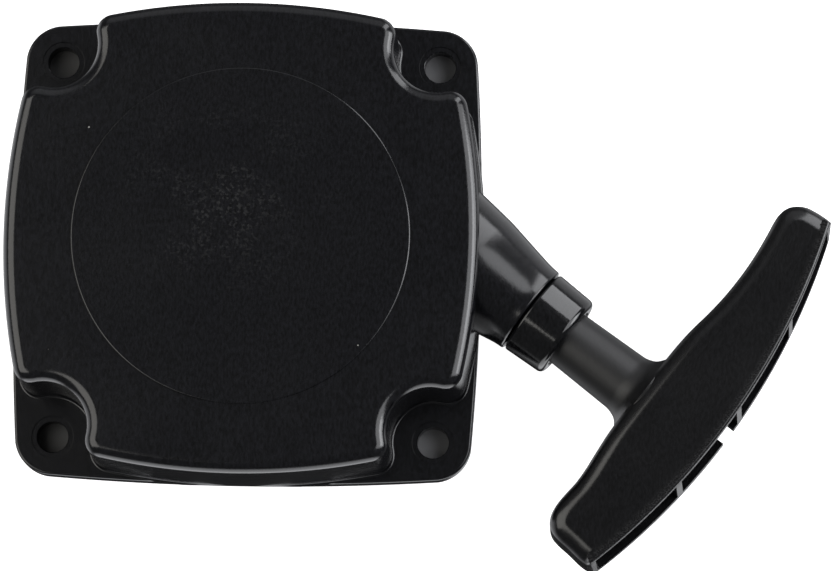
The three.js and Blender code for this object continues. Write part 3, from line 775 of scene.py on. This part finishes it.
def rope_tube(name, path, r, sides=20, squeeze=0.0):
    """Round rope or wire along a list of points; squeeze is the share by which its strands stand out."""
    points = [Vector(p) for p in path]
    verts, faces = [], []
    side_way = None
    for i, p in enumerate(points):
        along = (points[min(i + 1, len(points) - 1)] - points[max(i - 1, 0)]).normalized()
        if side_way is None:
            side_way = along.orthogonal().normalized()
        side_way = (side_way - along * side_way.dot(along)).normalized()
        other = along.cross(side_way)
        for k in range(sides):
            a = 2 * math.pi * k / sides
            wide = r * (1 + squeeze * math.cos(6 * a + 0.9 * i))
            verts.append(p + side_way * wide * math.cos(a) + other * wide * math.sin(a))
    for i in range(len(points) - 1):
        for k in range(sides):
            a, b = i * sides + k, i * sides + (k + 1) % sides
            faces.append((a, b, b + sides, a + sides))
    faces.append(tuple(range(sides))[::-1])
    last = (len(points) - 1) * sides
    faces.append(tuple(range(last, last + sides)))
    return mesh_object(name, verts, faces)


def knot_path(centre, size, steps=90):
    """Centre line of an overhand knot, pulled fairly tight."""
    points = []
    for t in np.linspace(0, 2 * math.pi, steps, endpoint=False):
        x = (math.sin(t) + 2 * math.sin(2 * t)) * size / 3
        y = (math.cos(t) - 2 * math.cos(2 * t)) * size / 3
        z = -math.sin(3 * t) * size * 0.45
        points.append(Vector(centre) + Vector((x, y, z)))
    return points


STRANDS = 0.03


def knot(node, name, body, size, r, sides):
    low, high = mm_box(node)
    centre = [(a + b) / 2 for a, b in zip(low, high)]
    piece = rope_tube(node, knot_path(centre, size), r, sides, STRANDS)
    finish_piece(piece, name, body, rope_white, [node], 80)


def rope_pieces():
    path = [ROPE_FRAME @ Vector((x, 0, 0)) for x in np.linspace(0.5, HANDLE_AT + 26, 220)]
    run = rope_tube("rope_run", path, ROPE_R * 0.97, 20, STRANDS)
    finish_piece(run, "rope_run_braid", None, rope_white, ["rope_run"], 80)
    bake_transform(run)

    turns = []
    layers = ((17.2, 11.0, 14.0), (20.3, 14.0, 11.0), (ROPE_WOUND_R, 11.0, ROPE_Z))
    for layer, (r, z0, z1) in enumerate(layers):
        for t in np.linspace(0, 2, 145)[: None if layer == 2 else -1]:
            a = -2 * math.pi * (t - 2) + ROPE_ANGLE + math.pi / 2
            turns.append((r * math.cos(a), r * math.sin(a), z0 + (z1 - z0) * t / 2))
    winding = rope_tube("rope_winding", turns, ROPE_R * 0.98, 16, STRANDS)
    finish_piece(winding, "rope_winding_turns", "reel", rope_white, ["rope_winding"], 80)

    knot("reel_knot", "reel_knot_rope", "reel", 1.55, 0.95, 14)
    knot("handle_knot", "handle_knot_rope", "handle", 2.2, 1.25, 16)


def ring_profile(inner, outer, low, high, edge):
    return rounded([(inner, low), (outer, low), (outer, high), (inner, high)], edge, 4)


def handle_washer():
    low, high = HANDLE_AT + 21.7, HANDLE_AT + 22.7
    piece = lathe("handle_washer", ring_profile(1.8, 4.6, low, high, 0.15), 64, ON_ROPE)
    finish_piece(piece, "handle_washer_ring", "handle", zinc_steel, ["handle_washer"])


# ---- Reel and spring ----


def rope_reel():
    face, high = REEL_BOTTOM + 0.45, reel_high[2]
    bore_r, hub_r, barrel_r = 7.2, 9.3, 15.6
    profile = [
        (bore_r, REEL_BOTTOM), (10.2, REEL_BOTTOM), (REEL_FLANGE_R - 3.0, face), (REEL_FLANGE_R, face),
        (REEL_FLANGE_R, 8.8), (barrel_r, 9.2), (barrel_r, 15.8), (REEL_FLANGE_R, 16.2), (REEL_FLANGE_R, 17.0),
        (hub_r, 17.0), (hub_r, high), (bore_r, high),
    ]
    radii = [0.3, 0.3, 0.2, 0.4, 0.4, 0.8, 0.8, 0.35, 0.35, 0.5, 0.3, 0.3]
    reel = lathe("rope_reel", rounded(profile, radii, 4), 160)
    knot_x, rope_slot, hook_slot = -11.6, 1.8, 0.7
    cuts = [rod(2.2, 6, 13.3, 0, side * PAWL_PIVOT_R, 40) for side in (1, -1)]
    cuts.append(rod(3.1, 6, 14.5, knot_x, 0, 40))
    cuts.append(block(-17, knot_x, -rope_slot, rope_slot, ROPE_Z - rope_slot, ROPE_Z + rope_slot))
    cuts.append(block(6.2, 10.3, -hook_slot, hook_slot, WELL_LOW, 24))
    for k in range(12):
        a = math.radians(15 + 30 * k)
        pocket = arc(0, 0, 27.4, a - 0.2, a + 0.2, 8) + arc(0, 0, 18.2, a + 0.17, a - 0.17, 8)
        cuts.append(plate("pocket", rounded(pocket, 0.6, 3), REEL_BOTTOM - CUT, REEL_BOTTOM + 0.95, 0.0))
    boolean(reel, cuts)
    finish_piece(reel, "rope_reel_moulding", "reel", reel_plastic, ["rope_reel"])
    low, top = mm_box("reel_bush")
    bush = lathe("reel_bush", ring_profile(5.8, 6.9, low[2], top[2], 0.25), 96)
    finish_piece(bush, "reel_bush_sleeve", "reel", bush_brass, ["reel_bush"])


def spiral_strip():
    """The recoil spring as a flat strip; half is half its thickness."""
    low, high = mm_box("recoil_spring")
    turns, per_turn, half = 13, 72, 0.2
    inner, outer = 10.2, high[0] - 0.3
    verts, faces = [], []
    total = turns * per_turn
    for i in range(total + 1):
        t = i / total
        a = -2 * math.pi * turns * t
        mid = inner + (outer - inner) * t
        for r in (mid - half, mid + half):
            for z in (low[2], high[2]):
                verts.append((r * math.cos(a), r * math.sin(a), z))
    for i in range(total):
        p, q = 4 * i, 4 * i + 4
        faces += [
            (p, p + 1, q + 1, q), (p + 2, q + 2, q + 3, p + 3),
            (p, q, q + 2, p + 2), (p + 1, p + 3, q + 3, q + 1),
        ]
    faces += [(0, 2, 3, 1), (4 * total, 4 * total + 1, 4 * total + 3, 4 * total + 2)]
    piece = mesh_object("recoil_spring", verts, faces)
    finish_piece(piece, "recoil_spring_strip", "housing", spring_steel, ["recoil_spring"])


def spring_cover():
    low, high = plate_low[2], plate_high[2]
    piece = lathe("spring_cover", ring_profile(10.3, WELL_WALL_R, low, high, 0.15), 160)
    boolean(piece, [rod(3.6, low, high, *ear) for ear in EAR_PLACES], "UNION")
    holes = [rod(1.7, low - CUT, high + CUT, *ear, 32) for ear in EAR_PLACES]
    bead = [(20.5, low - 0.3), (21.3, low + 0.22), (22.1, low - 0.3)]
    boolean(piece, [*holes, lathe("bead", bead, 128)])
    finish_piece(piece, "spring_cover_plate", "housing", zinc_steel, ["spring_cover"])


def cross_recess(size, width, low, high, turn=0.0):
    """The two bars of a cross recess."""
    spin = Matrix.Rotation(turn, 4, "Z")
    bars = []
    for x, y in ((size, width), (width, size)):
        outline = [(-x / 2, -y / 2), (x / 2, -y / 2), (x / 2, y / 2), (-x / 2, y / 2)]
        bars.append(plate("bar", rounded(outline, 0.15, 3), low, high, 0.0, spin))
    return bars


def screws():
    for i, ear in enumerate(EAR_PLACES):
        name = f"spring_cover_screw_{i + 1}"
        box_low, box_high = mm_box(name)
        low, high = box_low[2], box_high[2]
        head_r, shank_r = 2.8, 1.0
        profile = [
            (0, low), (1.7, low), (head_r, low + 1.0), (head_r, low + 1.4), (shank_r, low + 1.4),
            (shank_r, high), (0, high),
        ]
        piece = lathe(name, rounded(profile, [0, 0.9, 0.25, 0.15, 0.1, 0.3, 0], 4), 48)
        boolean(piece, cross_recess(2.6, 0.55, low - CUT, low + 0.8, 0.4 + i))
        piece.data.transform(Matrix.Translation(Vector((*ear, 0)) * MM))
        finish_piece(piece, name + "_pan_head", "housing", zinc_steel, [name])
    low, high = screw_low[2], screw_high[2]
    head_r, shank_r = 4.8, 1.8
    profile = [
        (0, low), (3.2, low), (head_r, low + 0.8), (head_r, low + 1.5), (shank_r, low + 1.5),
        (shank_r, high - 0.9), (0, high),
    ]
    piece = lathe("centre_screw", rounded(profile, [0, 1.6, 0.3, 0.2, 0.1, 0.2, 0], 5), 64)
    boolean(piece, cross_recess(5.0, 0.95, -CUT, low + 1.0, 0.5))
    finish_piece(piece, "centre_screw_pan_head", "housing", zinc_steel, ["centre_screw"])
    washer = lathe("washer", ring_profile(2.3, 8.6, washer_low[2], washer_high[2], 0.15), 96)
    finish_piece(washer, "centre_washer_ring", "housing", zinc_steel, ["centre_washer"])


# ---- Pawls, guide plate and their springs ----

PEG = (6.5, -0.5)  # from the pawl's pivot
PEG_R = 1.1
PAWL_T = 2.1
PAWL_EYE_R = 3.6


def pawls():
    low, high = pawl_high[2] - PAWL_T, pawl_high[2]
    dog = [(7.5, -3.1), (14.2, -0.6), (16.4, 1.4), (16.2, 4.2), (13.6, 3.5), (8.5, 2.2)]
    outline = arc(0, 0, PAWL_EYE_R, math.radians(75), math.radians(260), 24)
    outline += rounded(dog, [4, 2, 0.6, 0.4, 1.5, 4], 5)
    tip, root = pawl_low[2], low + 0.6
    peg = rounded([(0, tip), (PEG_R, tip), (PEG_R, root), (0, root)], [0, 0.25, 0, 0], 3)
    for i, pawl in enumerate(("pawl_a", "pawl_b")):
        spin = Matrix.Rotation(i * math.pi, 4, "Z") @ Matrix.Translation((0, PAWL_PIVOT_R, 0))
        piece = plate("pawl", outline, low, high, 0.2, spin)
        boolean(piece, [lathe("peg", peg, 32, spin @ Matrix.Translation((*PEG, 0)))], "UNION")
        boolean(piece, [rod(2.1, low - CUT, high + CUT, 0, 0, 40, spin)])
        finish_piece(piece, f"{pawl}_dog", pawl, hard_steel, [pawl])
        node = pawl.replace("pawl", "pawl_pin")
        pin_low, pin_high = mm_box(node)
        profile = [(0, pin_low[2]), (1.9, pin_low[2]), (1.9, pin_high[2]), (0, pin_high[2])]
        pin = lathe("pin", rounded(profile, [0, 0.3, 0.2, 0], 3), 40, spin)
        finish_piece(pin, f"{node}_steel", "reel", hard_steel, [node])


def cam_slot():
    """Outline of the slot that the peg of pawl a follows, as the guide plate turns against the reel."""
    swing = math.radians(joint["pawl_a_swing"]["range_deg"][1])
    turn = math.radians(joint["guide_turn"]["range_deg"][1])
    pivot = Vector((0, PAWL_PIVOT_R))
    path = []
    for share in np.linspace(0, 1, 17):
        peg = Matrix.Rotation(swing * share, 2) @ Vector(PEG) + pivot
        path.append(Matrix.Rotation(-turn * share, 2) @ peg)
    half = PEG_R + 0.4
    left, right = [], []
    for i, p in enumerate(path):
        along = (path[min(i + 1, len(path) - 1)] - path[max(i - 1, 0)]).normalized()
        across = Vector((-along.y, along.x)) * half
        left.append(tuple(p + across))
        right.append(tuple(p - across))
    start, end = path[1] - path[0], path[-1] - path[-2]
    a0, a1 = math.atan2(start.y, start.x), math.atan2(end.y, end.x)
    slot = right + arc(*path[-1], half, a1 - math.pi / 2, a1 + math.pi / 2, 12)[1:-1]
    return slot + left[::-1] + arc(*path[0], half, a0 + math.pi / 2, a0 + 1.5 * math.pi, 12)[1:-1]


def ratchet_guide():
    low, high = guide_low[2], guide_high[2]
    waist_r, lobe_r, lobe_at = 9.6, 10.4, math.radians(40)
    outline = []
    for a in np.linspace(0, 2 * math.pi, 180, endpoint=False):
        r = waist_r + lobe_r * ((1 + math.cos(2 * (a - lobe_at))) / 2) ** 1.5
        outline.append((r * math.cos(a), r * math.sin(a)))
    guide = plate("ratchet_guide", outline, low, high, 0.2)
    slot = cam_slot()
    half_turns = [Matrix.Rotation(k * math.pi, 4, "Z") for k in (0, 1)]
    cuts = [plate("slot", slot, low - CUT, high + CUT, 0.0, turn) for turn in half_turns]
    cuts.append(rod(POST_R + 0.3, low - CUT, high + CUT, 0, 0, 64))
    boolean(guide, cuts)
    finish_piece(guide, "ratchet_guide_plate", "guide", zinc_steel, ["ratchet_guide"])


def small_springs():
    low, high = mm_box("return_spring")
    coil_r, wire_r, turns = 7.6, 0.4, 1.9
    path = []
    for t in np.linspace(0, 1, 140):
        a = 2 * math.pi * turns * t
        height = low[2] + wire_r + (high[2] - low[2] - 2 * wire_r) * t
        path.append((coil_r * math.cos(a), coil_r * math.sin(a), height))
    coil = rope_tube("return_spring", path, wire_r, 14)
    finish_piece(coil, "return_spring_wire", "reel", spring_steel, ["return_spring"], 60)
    low, high = mm_box("friction_spring")
    wave = 0.07
    ring = lathe("friction_spring", ring_profile(6.2, 8.2, low[2] + wave, high[2] - wave, 0.05), 120)
    for v in ring.data.vertices:
        v.co.z += wave * MM * math.sin(3 * math.atan2(v.co.y, v.co.x))
    finish_piece(ring, "friction_spring_wave", "housing", spring_steel, ["friction_spring"])


# ---- Stage ----

ROOM_RADIANCE = 0.12
COOL_WHITE = (0.96, 0.97, 1.0)
WARM_WHITE = (1.0, 0.98, 0.93)
SOFTBOXES = [  # name, (zenith, azimuth) in degrees, (width, length) in metres, radiance, colour
    ("right_softbox", (50, 4), (0.6, 0.76), 3.2, COOL_WHITE),
    ("low_right_softbox", (76, 6), (0.4, 0.56), 5.2, COOL_WHITE),
    ("back_right_softbox", (62, 51), (0.23, 0.76), 4.4, COOL_WHITE),
    ("left_softbox", (41, 186), (0.8, 0.75), 2.4, WARM_WHITE),
]
SOFTBOX_DISTANCE = 0.8
GLOWS = [  # direction, the cosines where it starts and is full, strength
    ((0, 0.86, 0.5), 0.78, 0.97, 0.45),
    ((0, -0.87, -0.5), 0.78, 0.94, 2.3),
    ((-1, 0, -0.6), 0.7, 0.95, 1.3),
    ((0.6, 0.55, -0.55), 0.8, 0.95, 0.7),
    ((0.2, 0, -0.98), 0.978, 0.996, 0.6),
    ((0, 0, -1), 0.6, 0.9, 0.02 - ROOM_RADIANCE),
]
FLOOR_SIZE = 6
FLOOR_LEVEL = -0.0003


def add_floor():
    """White floor, and a dim sheet of painted shade under the flange that only shows through the fixing
    holes.
    """
    bpy.ops.mesh.primitive_plane_add(size=FLOOR_SIZE, location=(0, 0, FLOOR_LEVEL))
    floor = bpy.context.object
    floor.name = "floor"
    n = Nodes("floor_white")
    n.shader.inputs["Base Color"].default_value = (0.6, 0.6, 0.6, 1)
    n.shader.inputs["Roughness"].default_value = 0.9
    n.shader.inputs["Emission Color"].default_value = (1, 1, 1, 1)
    n.shader.inputs["Emission Strength"].default_value = 1.0
    floor.data.materials.append(n.material)
    floor.visible_glossy = False

    shadow = plate("floor_painted_shade_sheet", flange_outline(1.5), -0.2, -0.1, 0.0)
    n = Nodes("floor_shadow")
    axes = n.add("ShaderNodeSeparateXYZ")
    n.link(n.place, axes.inputs["Vector"])
    # painted shade: the sheet is darker towards -X and lighter towards +X
    across = n.spread(axes.outputs["X"], -0.04, 0.04)
    n.link(n.mix(across, (0.06, 0.06, 0.06), (0.2, 0.2, 0.205)), n.shader.inputs["Base Color"])
    n.shader.inputs["Roughness"].default_value = 0.9
    shadow.data.materials.append(n.material)


def add_softbox(name, way, size, radiance, colour):
    """Rectangular light that faces the case."""
    zenith, azimuth = (math.radians(v) for v in way)
    data = bpy.data.lights.new(name, "AREA")
    data.shape = "RECTANGLE"
    data.size, data.size_y = size
    data.energy = radiance * math.pi * size[0] * size[1]
    data.color = colour
    light = bpy.data.objects.new(name, data)
    scene.collection.objects.link(light)
    side = SOFTBOX_DISTANCE * math.sin(zenith)
    height = SOFTBOX_DISTANCE * math.cos(zenith)
    place = Vector((side * math.cos(azimuth), side * math.sin(azimuth), height))
    light.location = place
    light.rotation_euler = (-place).to_track_quat("-Z", "Y").to_euler()


def add_world():
    """A dim room with the glows added to it."""
    world = bpy.data.worlds.new("studio")
    world.use_nodes = True
    tree = world.node_tree
    way = tree.nodes.new("ShaderNodeTexCoord").outputs["Generated"]
    total = None
    for direction, start, full, strength in GLOWS:
        dot = tree.nodes.new("ShaderNodeVectorMath")
        dot.operation = "DOT_PRODUCT"
        dot.inputs[1].default_value = Vector(direction).normalized()
        tree.links.new(way, dot.inputs[0])
        ramp = tree.nodes.new("ShaderNodeMapRange")
        ramp.interpolation_type = "SMOOTHSTEP"
        ramp.inputs["From Min"].default_value = start
        ramp.inputs["From Max"].default_value = full
        ramp.inputs["To Max"].default_value = strength
        tree.links.new(dot.outputs["Value"], ramp.inputs["Value"])
        plus = tree.nodes.new("ShaderNodeMath")
        plus.inputs[1].default_value = ROOM_RADIANCE
        tree.links.new(ramp.outputs["Result"], plus.inputs[0])
        if total is not None:
            tree.links.new(total, plus.inputs[1])
        total = plus.outputs["Value"]
    tree.links.new(total, tree.nodes["Background"].inputs["Strength"])
    tree.nodes["Background"].inputs["Color"].default_value = (*COOL_WHITE, 1)
    scene.world = world


def add_light():
    for box in SOFTBOXES:
        add_softbox(*box)
    add_world()
    scene.view_settings.view_transform = "Standard"


add_camera()
starter_case()
rope_guide()
handle_grip()
handle_washer()
rope_pieces()
rope_reel()
spiral_strip()
spring_cover()
screws()
pawls()
ratchet_guide()
small_springs()
add_floor()
add_light()
